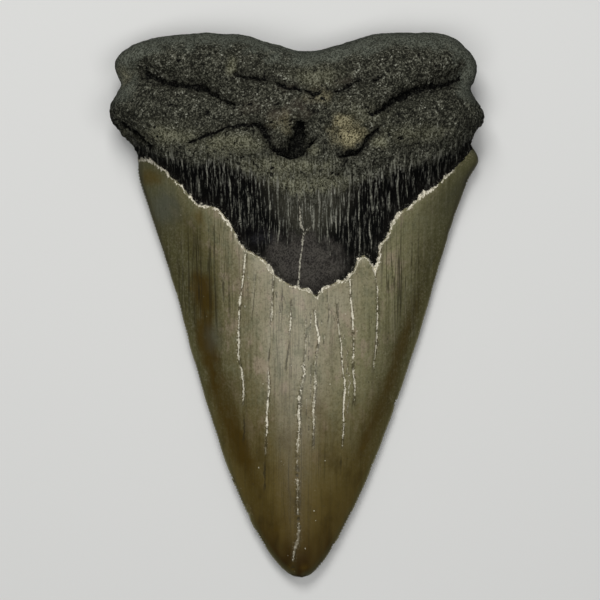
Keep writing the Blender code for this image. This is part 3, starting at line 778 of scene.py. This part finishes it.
# %% Where the stains are
LEFT_OCHRE = [(12, 7.5, 3.0), (0, 6.5, 3.0), (-8, 4.6, 2.6), (-20, 4.4, 2.6), (-34, 5.0, 3.0)]
RIGHT_OCHRE = [(20, 3.6, 2.6), (0, 3.4, 2.2), (-13, 3.8, 2.2), (-25, 3.6, 2.0), (-37, 4.6, 1.8)]
LEFT_BROWN = [(30, 9, 4), (10, 9, 4), (-10, 6, 3)]
RIGHT_OCHRE_STRENGTH, BROWN_STRENGTH = 0.65, 0.8
SOFT, RAGGED = 0.35, 0.6
STAINS = {  # seed, raggedness, and spots: middle, reach along x and y, strength
    "hair_zone": (21, SOFT, [
        (-23, 8, 9, 16, 1), (26, 8, 7, 16, 0.9), (-2, -10, 12, 20, 0.5), (0, -42, 9, 16, 0.5),
    ]),
    "blue_stain": (21, SOFT, [(-34.5, 26.0, 4.5, 6.0, 0.9), (-21.5, -8.0, 3.0, 5.0, 0.6)]),
    "rust_stain": (20, SOFT, [
        (-38.0, 33.5, 4.0, 2.5, 1.0), (-25.0, 23.0, 1.8, 2.6, 0.9), (-5.3, -57.0, 1.6, 1.2, 0.8),
        (2.2, -67.4, 2.0, 1.4, 0.8), (-1.7, -68.0, 1.5, 1.5, 0.7), (-27.3, 5.2, 1.2, 1.6, 0.8),
        (17.0, -36.8, 1.2, 1.4, 0.8), (3.5, -27.0, 5.0, 2.5, 0.6),
    ]),
    "ochre_stain": (20, RAGGED, [
        (12.4, 47.8, 2.6, 2.2, 0.95), (13.2, 44.8, 4.6, 3.6, 0.7), (-3.4, 48.0, 3.6, 3.2, 0.4),
        (6.5, 55.0, 4.5, 2.6, 0.4), (-44.5, 60.0, 3.0, 3.6, 0.3),
    ]),
    "purple_stain": (21, RAGGED, [
        (-4.0, 50.0, 5.0, 2.2, 0.8), (1.5, 52.0, 4.0, 3.5, 0.6), (-12.0, 52.0, 5.0, 3.0, 0.4),
        (12.5, 58.5, 3.0, 1.2, 0.6), (-2.0, 57.0, 3.0, 1.2, 0.7), (-8.6, 17.4, 4.2, 2.2, 0.4),
    ]),
    # cream from lime, and cream spots on the raised lumps that are painted light
    "cream_stain_and_lump_light": (22, SOFT, [
        (-34.0, 44.5, 9.0, 3.2, 0.7), (-18.0, 42.0, 11.0, 3.6, 0.7), (-3.0, 36.5, 13.0, 3.0, 0.8),
        (-45.2, 44.0, 1.3, 2.2, 0.7), (-42.8, 41.0, 1.3, 2.2, 0.8), (2.0, 32.0, 12.0, 3.5, 0.9),
        (5.0, 60.0, 8.0, 3.5, 0.5), (30.0, 45.0, 12.0, 3.0, 0.5), (17.0, 50.0, 8.0, 4.0, 0.4),
        (22.0, 42.5, 2.5, 1.8, 0.8), (-16.8, 62.4, 1.6, 2.3, 0.7), (4.3, 40.6, 2.0, 1.7, 0.8),
    ]),
}
ochre_left = rim_band(LEFT, LEFT_OCHRE, top=(4, 14), low=(-56, -34))
ochre_right = rim_band(RIGHT, RIGHT_OCHRE, top=(-8, 16), low=(-48, -34))
brown_left = rim_band(LEFT, LEFT_BROWN, top=(20, 30), low=(-12, 2))
print("stains:", ", ".join(STAINS))

# %% [markdown]
# ## Keep the values on the mesh
# Each value becomes a point attribute. It is saved with the mesh, and a material can read it by
# its name with an Attribute node. So colours and relief come from the same numbers.

# %% Write every value as an attribute
DENSE_MIDDLE, DENSE_REACH = 3, 11  # mm, where the strands' ground is pale
NOTCH_REACH = 0.6  # mm from the edge
FAR = 60  # mm
named_values = {
    "past_enamel": past_enamel,
    "from_rim": np.minimum(from_rim, FAR),
    "ridge": ridge,
    "hang": ramp(0.1, 1.0, rise),
    "dense": ramp(0.35, 0.9, rise) * np.exp(-(((x - DENSE_MIDDLE) / DENSE_REACH) ** 2)) * lingual,
    "above_band": above_band,
    "smooth_patch": smooth_patch,
    "cavity_shade": cavity_shade,
    "valley_shade": valley_shade,
    "top_rim": top_rim,
    "crack": crack,
    "crack_fill": crack_fill,
    "chip": chip,
    "notch": wear * -np.cos(phase) * np.exp(-((from_rim / NOTCH_REACH) ** 2)),
    "lingual": lingual.astype(float),
    "height": y,
    "across": mirror_x,
    "ochre_band": np.maximum(ochre_left, RIGHT_OCHRE_STRENGTH * ochre_right),
    "brown_band": BROWN_STRENGTH * brown_left,
} | {name: stain(*facts) for name, facts in STAINS.items()}
for name, values in named_values.items():
    attribute = skin.attributes.new(name, "FLOAT", "POINT")
    attribute.data.foreach_set("value", values.astype(np.float32))
print("named values:", ", ".join(named_values))


# %% [markdown]
# ## How the materials are built
# A fossil's colours lie over each other like coats of thin paint, each showing in its own
# places. Such a material could be wired node by node, but it would be hard to read. Here it is
# built from tables, in the order in which a painter would work: grains of a real size, masks
# that say where a coat shows, and then the coats. One small function adds every node.


# %% Helpers that build a material
GRAIN_ROUGHNESS = 0.7  # how strong the finer octaves of a grain are


def linear(hex_colour):
    """An sRGB hex colour as the linear values that a shader takes."""
    parts = [int(hex_colour[i : i + 2], 16) / 255 for i in (1, 3, 5)]
    return (*[c / 12.92 if c <= 0.04045 else ((c + 0.055) / 1.055) ** 2.4 for c in parts], 1)


def add_node(tree, kind, settings=None, links=None):
    """Adds a node, sets its properties, and gives each named input a value or another socket."""
    node = tree.nodes.new("ShaderNode" + kind)
    for name, value in (settings or {}).items():
        setattr(node, name, value)
    for name, value in (links or {}).items():
        if isinstance(value, bpy.types.NodeSocket):
            tree.links.new(value, node.inputs[name])
        else:
            node.inputs[name].default_value = value
    return node


def new_finish(
    name, crystals, grains, sums, masks, coats, relief, relief_depth, roughness, **shader_values
):
    """Makes a material from tables. Crystals are cells of this size in mm, each with its own
    value. A grain is a noise, with its size in mm, stretch, detail and shift. A sum adds weighted
    crystals, grains and named values of the mesh. A mask turns one of these into a share, between
    two of its values. A coat is a colour laid on by the product of its masks. Relief adds weighted
    shares for the bump."""
    material = bpy.data.materials.new(name)
    material.use_nodes = True
    tree = material.node_tree
    shader = tree.nodes["Principled BSDF"]
    for label, value in shader_values.items():
        shader.inputs[label.replace("_", " ")].default_value = value
    sockets = {}
    place = add_node(tree, "TexCoord").outputs["Object"]
    for crystal, size in crystals.items():
        links = {"Vector": place, "Scale": 1 / (size * MM)}
        sockets[crystal] = add_node(tree, "TexVoronoi", None, links).outputs["Color"]
    for grain, (size, stretch, detail, shift) in grains.items():
        scale = tuple(1 / (size * MM * part) for part in stretch)
        links = {"Vector": place, "Location": (shift,) * 3, "Scale": scale}
        mapped = add_node(tree, "Mapping", None, links).outputs[0]
        links = {"Vector": mapped, "Scale": 1, "Detail": detail, "Roughness": GRAIN_ROUGHNESS}
        sockets[grain] = add_node(tree, "TexNoise", None, links).outputs["Fac"]
    for value_name in named_values:
        node = add_node(tree, "Attribute", {"attribute_name": value_name})
        sockets[value_name] = node.outputs["Fac"]
    for total, parts in (*sums.items(), ("relief", relief)):
        value = 0.0
        for source, weight in parts:
            links = {0: sockets[source], 1: weight, 2: value}
            value = add_node(tree, "Math", {"operation": "MULTIPLY_ADD"}, links).outputs[0]
        sockets[total] = value
    for mask, (source, low, high, *share) in masks.items():
        least, most = share or (0, 1)
        links = {"Value": sockets[source], "From Min": low, "From Max": high}
        links |= {"To Min": least, "To Max": most}
        settings = {"interpolation_type": "SMOOTHSTEP"}
        sockets[mask] = add_node(tree, "MapRange", settings, links).outputs["Result"]
    colour = linear(coats[0][0])
    for coat, *mask_names in coats[1:]:
        share = sockets[mask_names[0]]
        for mask in mask_names[1:]:
            factor = mask if isinstance(mask, float) else sockets[mask]
            share = add_node(tree, "Math", {"operation": "MULTIPLY"}, {0: share, 1: factor}).outputs[0]
        links = {0: share, 6: colour, 7: linear(coat)}
        colour = add_node(tree, "Mix", {"data_type": "RGBA"}, links).outputs[2]
    tree.links.new(colour, shader.inputs["Base Color"])
    links = {"Strength": 1, "Distance": relief_depth * MM, "Height": sockets["relief"]}
    tree.links.new(add_node(tree, "Bump", None, links).outputs[0], shader.inputs["Normal"])
    tree.links.new(sockets[roughness], shader.inputs["Roughness"])
    print(name, "has", len(tree.nodes), "nodes")
    return material


# %% [markdown]
# ## Mineral in the lip and the cracks
# White lime mineral fills the broken lip and the long cracks. Both cross from enameloid into
# dentine, so both materials take the same tables. The distance from the lip or the crack is
# kept on the mesh, and a few grains are added to it before it is cut to a line. That gives a
# line with beads, gaps and crumbs beside it, where a plain line would look drawn.

# %% The tables that both materials share
LONG = (1, 45, 45)
SHARED_GRAINS = {
    "lip_grain": (1.1, EVEN, 3, 9.0),
    "fine_grain": (0.45, EVEN, 2, 10.0),
    "crack_grain": (0.8, (1, 2.2, 2), 2, 11.0),
    "crack_breaks": (3.0, (1, 2.0, 2), 2, 12.0),
}
CRACK_RAGS = [("crack_grain", 2.6), ("fine_grain", 1.8), ("crack_breaks", 3.2)]
SHARED_SUMS = {
    "lip_foot": [("past_enamel", 1), ("lip_grain", 1.6), ("fine_grain", 1.4)],
    "lip_top": [("past_enamel", 1), ("lip_grain", 1.6), ("fine_grain", 1.4), ("crack_breaks", -3.6)],
    "crack_from_left": [("crack", 1), *CRACK_RAGS],
    "crack_from_right": [("crack", -1), *CRACK_RAGS],
    "bead_level": [("fine_grain", 1), ("crack_fill", 0.3)],
}
SHARED_MASKS = {
    "lip_below": ("lip_foot", 1.30, 1.44),
    "lip_above": ("lip_top", -0.02, -0.20),
    "lip_breaks": ("crack_grain", 0.40, 0.56, 0.12, 1),
    "lip_place": ("across", 41.2, 40.0),
    "lip_flakes": ("fine_grain", 0.56, 0.66),
    "on_lingual": ("lingual", 0.4, 0.6),
    "line_left": ("crack_from_left", 3.1, 3.7),
    "line_right": ("crack_from_right", 3.1, 3.7),
    "some_fill": ("crack_fill", 0.02, 0.25),
    "white_fill": ("crack_fill", 0.05, 0.8),
    "beads": ("bead_level", 0.66, 0.80),
}
WHITE_MINERAL = "#e8e1cc"
DULL_MINERAL = "#c9c3ad"
print("shared: grains", len(SHARED_GRAINS), "sums", len(SHARED_SUMS), "masks", len(SHARED_MASKS))

# %% [markdown]
# ## Fossil enameloid
# The cap of the tooth is enameloid, a glassy mineral that keeps its polish when it fossilises.
# The eye sees a soft broad sheen over colours that lie a little below the surface: an olive-grey
# middle, ochre bands inside the cutting edges, a brown tip, and fine long hairlines. Part of the
# sheen is painted into the colour of the middle, lightest on the right, and the sides that slope
# away from the light are painted darker, as shade. Its IOR is set as for glass. Scratches too
# fine to see dull the polish, so its specular level is low.

# %% The enameloid
enamel = new_finish(
    "fossil_enameloid",
    {"grit": 0.35},
    {
        "cloud": (6, (1, 2.0, 2), 3, 0.0),
        "long_cloud": (7, (1, 3, 3), 2, 3.0),
        "hair_grain": (1.0, LONG, 1, 5.0),
        "streaks": (0.8, (1, 24, 24), 3, 6.0),
        "leather": (0.8, EVEN, 3, 7.0),
        "blotches": (4.0, (1, 1.7, 1.5), 4, 4.0),
        "speck_grain": (1.0, EVEN, 1, 8.0),
        **SHARED_GRAINS,
    },
    SHARED_SUMS | {
        "inside": [("from_rim", 1), ("cloud", 5)],
        "downwards": [("height", 1), ("cloud", 14)],
    },
    {
        "mottle": ("cloud", 0.40, 0.62),
        "light_mottle": ("long_cloud", 0.42, 0.62),
        # painted light: these masks lighten the inner part and the middle, most on the right, as a
        # painted sheen; the sloping sides stay darker, as painted shade
        "inner_lit": ("inside", 5, 16),
        "middle": ("inside", 14, 25),
        "lower": ("downwards", -2, -44),
        "very_low": ("downwards", -36, -66),
        "tip": ("height", -56, -70),
        "top": ("height", 12, 34),
        "right": ("across", 2, 14),
        "on_ochre": ("ochre_band", 0.1, 0.9),
        "on_brown": ("brown_band", 0.1, 0.9),
        "on_blue": ("blue_stain", 0.1, 0.9),
        "on_rust": ("rust_stain", 0.2, 0.9),
        # painted shade along the sloping rim and in the notches of the serrations
        "edge": ("from_rim", 1.8, 0.4),
        "edge_line": ("from_rim", 0.5, 0.15),
        "notch_shade": ("notch", 0.1, 0.7),
        "between_notches": ("notch", -0.1, -0.7),
        "dark_clouds": ("cloud", 0.50, 0.36),
        "ochre_clouds": ("cloud", 0.34, 0.52, 0.45, 1),
        "hair_one_side": ("hair_grain", 0.462, 0.5),
        "hair_other_side": ("hair_grain", 0.538, 0.5),
        "hair_place": ("hair_zone", 0.1, 0.8, 0.15, 1),
        "dark_streaks": ("streaks", 0.46, 0.36),
        "light_streaks": ("streaks", 0.54, 0.64),
        "dark_leather": ("leather", 0.48, 0.36),
        "light_leather": ("leather", 0.52, 0.66),
        "dark_grit": ("grit", 0.34, 0.22),
        "light_grit": ("grit", 0.66, 0.78),
        "green_blotches": ("blotches", 0.50, 0.36),
        "pink_blotches": ("blotches", 0.52, 0.66),
        "specks": ("speck_grain", 0.79, 0.805),
        "dark_specks": ("speck_grain", 0.26, 0.24),
        "gloss": ("leather", 0.3, 0.7, 0.30, 0.38),
        "lip_near": ("past_enamel", -1.2, -0.2),
        "spray_left": ("crack_from_left", 1.2, 2.2),
        "spray_right": ("crack_from_right", 1.2, 2.2),
        "spray_grains": ("fine_grain", 0.58, 0.66),
        "dirt_grains": ("fine_grain", 0.46, 0.36),
        "dark_left": ("crack_from_left", 2.8, 3.4),
        "dark_right": ("crack_from_right", 2.8, 3.4),
        "flank_left": ("crack", -1.5, -0.8),
        "flank_right": ("crack", 2.0, 1.1),
        "dark_fill": ("crack_fill", -0.02, -0.5),
        "dark_beads": ("crack_grain", 0.52, 0.44),
        "crack_dirt": ("crack_grain", 0.43, 0.35),
        "long_breaks": ("crack_breaks", 0.36, 0.48, 0.55, 1),
        "chipped": ("chip", 0.45, 0.75),
        **SHARED_MASKS,
    },
    [
        # the ground: painted darker at the edges, as shade on the sloping sides, and lighter inwards
        # and in the middle, as a painted sheen that is brightest on the right
        ("#4f4b2c",),
        ("#5c5a3a", "mottle", 0.6),
        ("#6e6848", "inner_lit"),
        ("#8a8764", "inner_lit", "right", 0.75),
        ("#8b8469", "middle"),
        ("#99937b", "middle", "light_mottle", 0.6),
        ("#696a50", "green_blotches", "inner_lit", 0.6),
        ("#a3917e", "pink_blotches", "inner_lit", 0.5),
        # grain, then the brown of the lower crown over it
        ("#38341f", "dark_leather", 0.3),
        ("#a8a28a", "light_leather", 0.14),
        ("#35301c", "dark_grit", 0.15),
        ("#b3ad95", "light_grit", 0.10),
        ("#a29c84", "light_streaks", 0.12),
        ("#524317", "lower", 0.88),
        ("#402e08", "very_low", 0.9),
        ("#2c1c02", "tip", 0.88),
        # stains
        ("#54543a", "top", 0.4),
        ("#443e14", "on_brown", 0.55),
        ("#352b0d", "dark_clouds", "lower", 0.4),
        ("#6f6032", "light_mottle", "lower", 0.25),
        ("#443304", "on_ochre", "ochre_clouds", 0.9),
        ("#56594e", "on_blue", 0.6),
        ("#54420f", "on_rust", 0.6),
        # the cutting edges: painted shade along the sloping rim and in the notches, a pale thin edge,
        # and lighter tips between the notches
        ("#504d30", "edge", 0.6),
        ("#7b785f", "edge_line", 0.6),
        ("#98957c", "between_notches", 0.5),
        ("#1d1a0c", "notch_shade", 0.7),
        # hairlines and specks
        ("#302a12", "dark_streaks", 0.22),
        ("#2b2716", "hair_one_side", "hair_other_side", "hair_place", 0.75),
        ("#cfc9b2", "specks", 0.7),
        ("#3b3626", "dark_specks", 0.5),
        ("#a9a080", "lip_near", "lip_flakes", "on_lingual", 0.5),
        # cracks: dark ones, dirt and crumbs beside the white ones, and the white itself
        ("#2f2a19", "dark_left", "dark_right", "dark_fill", "long_breaks", 0.7),
        ("#4a4027", "spray_left", "spray_right", "some_fill", "dirt_grains", 0.7),
        ("#b5ae96", "spray_left", "spray_right", "white_fill", "spray_grains", 0.6),
        ("#3b3520", "flank_left", "flank_right", "some_fill", "dark_beads", 0.65),
        (DULL_MINERAL, "line_left", "line_right", "white_fill", 0.85),
        (WHITE_MINERAL, "line_left", "line_right", "some_fill", "long_breaks", "beads", 0.9),
        ("#584c2c", "line_left", "line_right", "some_fill", "crack_dirt", 0.8),
        # the lip and the chips
        (DULL_MINERAL, "lip_below", "lip_above", "lip_place", "on_lingual", 0.5),
        (WHITE_MINERAL, "lip_below", "lip_above", "lip_breaks", "lip_place", "on_lingual"),
        ("#83745a", "chipped", "lip_flakes", 0.7),
    ],
    [("streaks", 0.4), ("hair_grain", 0.3), ("leather", 0.3)],
    0.06,
    "gloss",
    IOR=1.5,
    Specular_IOR_Level=0.28,
)

# %% [markdown]
# ## Fossil dentine
# Root and band are dentine, a porous bone-like tissue that phosphate minerals have turned dark.
# It is matt and granular: light and dark grains of less than half a millimetre, pores, ochre and
# cream stains, and in the band pale strands over nearly black ground. Its folds, holes and pits
# are darkened with painted shade, and its lumps and smooth top are partly lightened with painted
# light. Its grains are cells with one value each, because noise alone gives soft clouds and never
# a crisp grain. It hardly reflects, so its specular level is near nothing.

# %% The dentine
dentine = new_finish(
    "fossil_dentine",
    {"salt": 0.3, "pepper": 0.45},
    {
        "sand": (0.6, EVEN, 4, 2.0),
        "crumbs": (1.1, EVEN, 4, 4.0),
        "patches": (3.4, EVEN, 3, 6.0),
        "strand_grain": (1.2, (1, 8, 8), 2, 7.0),
        "fibre_grain": (0.45, (1, 9, 9), 2, 8.0),
        **SHARED_GRAINS,
    },
    SHARED_SUMS | {
        "root_grain": [
            ("salt", 0.45), ("pepper", 0.3), ("sand", 0.6), ("crumbs", 0.5), ("patches", 0.35),
        ],
        "band_level": [
            ("above_band", 1), ("strand_grain", -3.2), ("fibre_grain", -1.8), ("sand", -1.2),
        ],
        "strand_level": [("ridge", 1), ("strand_grain", 1.2), ("fibre_grain", 1.5), ("sand", 1.1)],
        "hollow_shade_level": [("cavity_shade", 1), ("sand", -0.5), ("crumbs", -0.4)],
    },
    {
        "light_grains": ("root_grain", 1.08, 1.30),
        "bright_grains": ("root_grain", 1.30, 1.46),
        "dark_grains": ("root_grain", 1.08, 0.90),
        "light_sand": ("salt", 0.40, 0.62),
        "bright_sand": ("salt", 0.62, 0.74),
        "on_top_rim": ("top_rim", 0.1, 1.0),
        "in_band": ("band_level", -2.4, -4.0),
        "on_strand": ("strand_level", 2.35, 2.85),
        "margin": ("above_band", 6, 0.5),
        "dark_fibres": ("fibre_grain", 0.47, 0.37),
        "dense_part": ("dense", 0.1, 0.9),
        "strand_lights": ("fibre_grain", 0.48, 0.62),
        "fine_strands": ("fibre_grain", 0.52, 0.64),
        "grainy": ("sand", 0.38, 0.56, 0.3, 1),
        "hanging": ("hang", 0.0, 1.0, 0.5, 1),
        "in_patch": ("smooth_patch", 0, 1),
        "by_the_lip": ("past_enamel", 3.4, 0.9),
        "patch_cloud": ("patches", 0.35, 0.65),
        # painted shade in the folds, holes and pits, and in the wide valleys beside the folds
        "hollow_shade": ("hollow_shade_level", -0.26, 0.0),
        "near_valley_shade": ("valley_shade", 0.15, 0.9),
        "ochre": ("ochre_stain", 0.05, 0.9),
        "purple": ("purple_stain", 0.05, 0.9),
        "cream_and_lump_light": ("cream_stain_and_lump_light", 0.05, 0.9),
        "matt": ("sand", 0.3, 0.7, 0.7, 0.9),
        "lip_over": ("past_enamel", 1.5, 0.6),
        **SHARED_MASKS,
    },
    [
        # grains of the root
        ("#2d2d25",),
        ("#0e0e0a", "dark_grains", 0.85),
        ("#666658", "light_grains", 0.8),
        ("#a6a698", "bright_grains", 0.9),
        # the smooth top rim, paler and cooler: partly its own colour, partly painted light from behind
        # the root
        ("#4b4e44", "on_top_rim", 0.6),
        ("#74786c", "on_top_rim", "light_sand", 0.55),
        ("#2c2f29", "on_top_rim", "dark_grains", 0.4),
        # stains
        ("#4d443a", "purple", 0.45),
        ("#676045", "ochre", 0.8),
        ("#aea684", "ochre", "light_sand", 0.8),
        ("#2e2a1c", "ochre", "dark_grains", 0.5),
        # cream from lime, and painted light on the lumps
        ("#55543f", "cream_and_lump_light", 0.6),
        ("#9d9c84", "cream_and_lump_light", "light_sand", 0.5),
        # the margin above the band, then the band's black ground and its strands
        ("#8b8b7c", "margin", "fine_strands", "on_lingual", 0.5),
        ("#1c1c16", "margin", "dark_fibres", "on_lingual", 0.5),
        # painted shade in the wide valleys beside the folds
        ("#14130f", "near_valley_shade", 0.4),
        ("#020202", "in_band"),
        ("#3f3e34", "in_band", "dense_part", 0.85),
        ("#74746a", "in_band", "fine_strands", "grainy", "hanging", 0.75),
        ("#5f5f55", "in_band", "on_strand", 0.9),
        ("#9c9b8d", "in_band", "on_strand", "strand_lights", 0.7),
        ("#12120c", "in_band", "dark_grains", 0.5),
        # the smooth patch
        ("#302d2a", "in_patch", "in_band", 0.85),
        ("#47443e", "in_patch", "in_band", "patch_cloud", 0.6),
        ("#66625b", "in_patch", "in_band", "light_sand", 0.28),
        ("#120f0e", "in_patch", "in_band", "dark_grains", 0.4),
        ("#100e0b", "in_band", "by_the_lip", 0.5),
        ("#343337", "in_band", "purple", 0.4),
        ("#5c5b5f", "in_band", "purple", "light_sand", 0.3),
        ("#8b897b", "in_patch", "in_band", "on_strand", 0.9),
        # painted shade in the folds, holes and pits, then the mineral of the lip and of the band's
        # crack
        ("#030302", "hollow_shade"),
        ("#3a3a33", "hollow_shade", "bright_sand", 0.5),
        ("#8c8a7c", "lip_over", "lip_flakes", "on_lingual", 0.6),
        (DULL_MINERAL, "lip_below", "lip_above", "lip_place", "on_lingual", 0.5),
        (WHITE_MINERAL, "lip_below", "lip_above", "lip_breaks", "lip_place", "on_lingual"),
        ("#7f7b6c", "line_left", "line_right", "white_fill", 0.85),
        ("#b4b0a0", "line_left", "line_right", "some_fill", "beads", 0.8),
    ],
    [("sand", 0.6), ("crumbs", 0.5), ("fibre_grain", 0.2)],
    0.5,
    "matt",
    Specular_IOR_Level=0.08,
)

# %% [markdown]
# ## Two materials on one skin
# A tooth is one piece of two tissues, so it stays one mesh, and that mesh has two materials. It
# could be split in two along the lip, but then a gap could open there. Each face takes its
# material from how far past the lip its corners are on average. The lip's white mineral is in
# both materials, and it covers most of the jagged line between the faces.

# %% Give each face its material
DENTINE_FROM = 0.3  # mm past the lip
SHARP_ANGLE = math.radians(50)
for material in (enamel, dentine):
    skin.materials.append(material)
corner_values = past_enamel[read(skin.loops, "vertex_index", kind=np.int32)]
corner_starts = read(skin.polygons, "loop_start", kind=np.int32)
corner_counts = read(skin.polygons, "loop_total", kind=np.int32)
face_past = np.add.reduceat(corner_values, corner_starts) / corner_counts
is_dentine = face_past > DENTINE_FROM
skin.polygons.foreach_set("material_index", is_dentine.astype(np.int32))
select_only(tooth)
bpy.ops.object.shade_smooth_by_angle(angle=SHARP_ANGLE)
skin.calc_loop_triangles()
print("faces of dentine:", int(is_dentine.sum()), "triangles in all:", len(skin.loop_triangles))

# %% [markdown]
# ## Camera
# The tooth lies on its flatter side, so the camera looks straight down on the domed one. A long
# lens from nearly a metre away keeps the outline almost free of perspective.

# %% Place the camera
LENS, SENSOR = 200, 36  # mm
camera_data = bpy.data.cameras.new("camera")
camera_data.lens = LENS
camera_data.sensor_width = SENSOR
camera = bpy.data.objects.new("camera", camera_data)
bpy.context.scene.collection.objects.link(camera)
camera.location = Vector((*PLAN_MIDDLE, PLAN_HEIGHT)) * MM
bpy.context.scene.camera = camera
print("camera, in mm above the floor:", PLAN_HEIGHT)

# %% [markdown]
# ## Light and floor
# A soft box behind the root lights it at a slant, which shows its grain and folds, and one near
# the camera lays a broad sheen on the enamel. A small lamp would give hard shadows and a hot
# spot, so both are wide. The floor is plain and pale. It is left out of the light that bounces
# between surfaces, because that light would whiten the thin dark edges.

# %% Soft boxes and a dim room
LIGHTS = [  # name, place and size in m, watts
    ("root_light", (-0.08, 0.38, 0.62), (0.3, 0.3), 2.6),
    ("sheen_light", (0.03, -0.08, 0.80), (0.9, 0.3), 3.2),
]
for name, place, (width, depth), watts in LIGHTS:
    data = bpy.data.lights.new(name, "AREA")
    data.shape = "RECTANGLE"
    data.size, data.size_y = width, depth
    data.energy = watts
    lamp = bpy.data.objects.new(name, data)
    lamp.location = place
    lamp.rotation_euler = (-Vector(place)).to_track_quat("-Z", "Y").to_euler()
    bpy.context.scene.collection.objects.link(lamp)
    print(name, "of", watts, "W")
ROOM_COLOUR, ROOM_STRENGTH = (0.9, 0.93, 1, 1), 0.10  # a linear colour, a little blue
world = bpy.data.worlds.new("dim_room")
world.use_nodes = True
room = world.node_tree.nodes["Background"]
room.inputs["Color"].default_value = ROOM_COLOUR
room.inputs["Strength"].default_value = ROOM_STRENGTH
bpy.context.scene.world = world
bpy.context.scene.view_settings.view_transform = "Standard"

# %% The floor
FLOOR_SIZE = 8  # m, so that its edge is out of view
FLOOR_COLOUR, FLOOR_ROUGHNESS = "#e0e0dd", 0.8
bpy.ops.object.select_all(action="DESELECT")
bpy.ops.mesh.primitive_plane_add(size=FLOOR_SIZE)
floor = bpy.context.active_object
floor.name = "floor"
paint = bpy.data.materials.new("pale_floor_paint")
paint.use_nodes = True
paint_shader = paint.node_tree.nodes["Principled BSDF"]
paint_shader.inputs["Base Color"].default_value = linear(FLOOR_COLOUR)
paint_shader.inputs["Roughness"].default_value = FLOOR_ROUGHNESS
floor.data.materials.append(paint)
floor.visible_diffuse = floor.visible_glossy = False
print("floor, in m:", FLOOR_SIZE)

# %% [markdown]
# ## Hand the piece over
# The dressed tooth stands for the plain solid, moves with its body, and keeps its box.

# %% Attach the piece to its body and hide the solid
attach(tooth, "root")
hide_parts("tooth")
